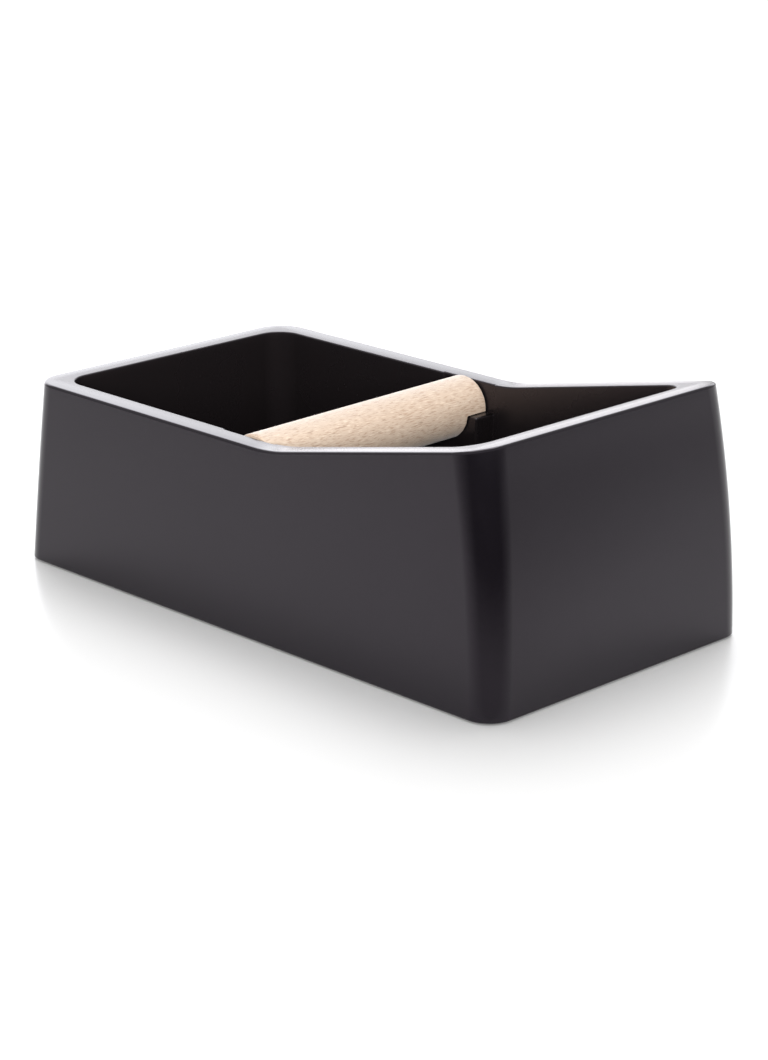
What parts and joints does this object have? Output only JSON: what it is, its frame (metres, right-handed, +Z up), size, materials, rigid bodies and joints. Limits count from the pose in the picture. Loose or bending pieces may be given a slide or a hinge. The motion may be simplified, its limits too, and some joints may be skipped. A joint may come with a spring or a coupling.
{
  "type": "espresso knock box",
  "caption": "Long double-walled plastic bin with a rim that climbs to the front end, and a lift-out beech bar across it for knocking spent coffee out of a filter holder.",
  "frame": {"origin": "on the table under the middle of the box's length and width", "axes": "+X along the box to its tall front end, +Y to its left side, +Z up"},
  "size_m": [0.291, 0.154, 0.1084],
  "materials": {
    "body_plastic": "semi-gloss black moulded plastic",
    "beech": "fine sanded beech, oiled",
    "base_plastic": "fine spark texture",
    "screw_steel": "zinc plated",
    "foot_rubber": "matt"
  },
  "bodies": {
    "box": {"body_moulding": "body_plastic", "base_plate": "base_plastic", "base_screw_1": "screw_steel", "base_screw_2": "screw_steel", "base_screw_3": "screw_steel", "base_screw_4": "screw_steel", "base_screw_5": "screw_steel", "base_screw_6": "screw_steel", "foot_front_left": "foot_rubber", "foot_front_right": "foot_rubber", "foot_rear_left": "foot_rubber", "foot_rear_right": "foot_rubber"},
    "bar": {"knock_bar": "beech"}
  },
  "joints": [
    {"name": "bar_lift", "type": "slide", "parent": "box", "child": "bar", "axis": [0, 0, 1], "range_m": [0, 0.06]}
  ]
}
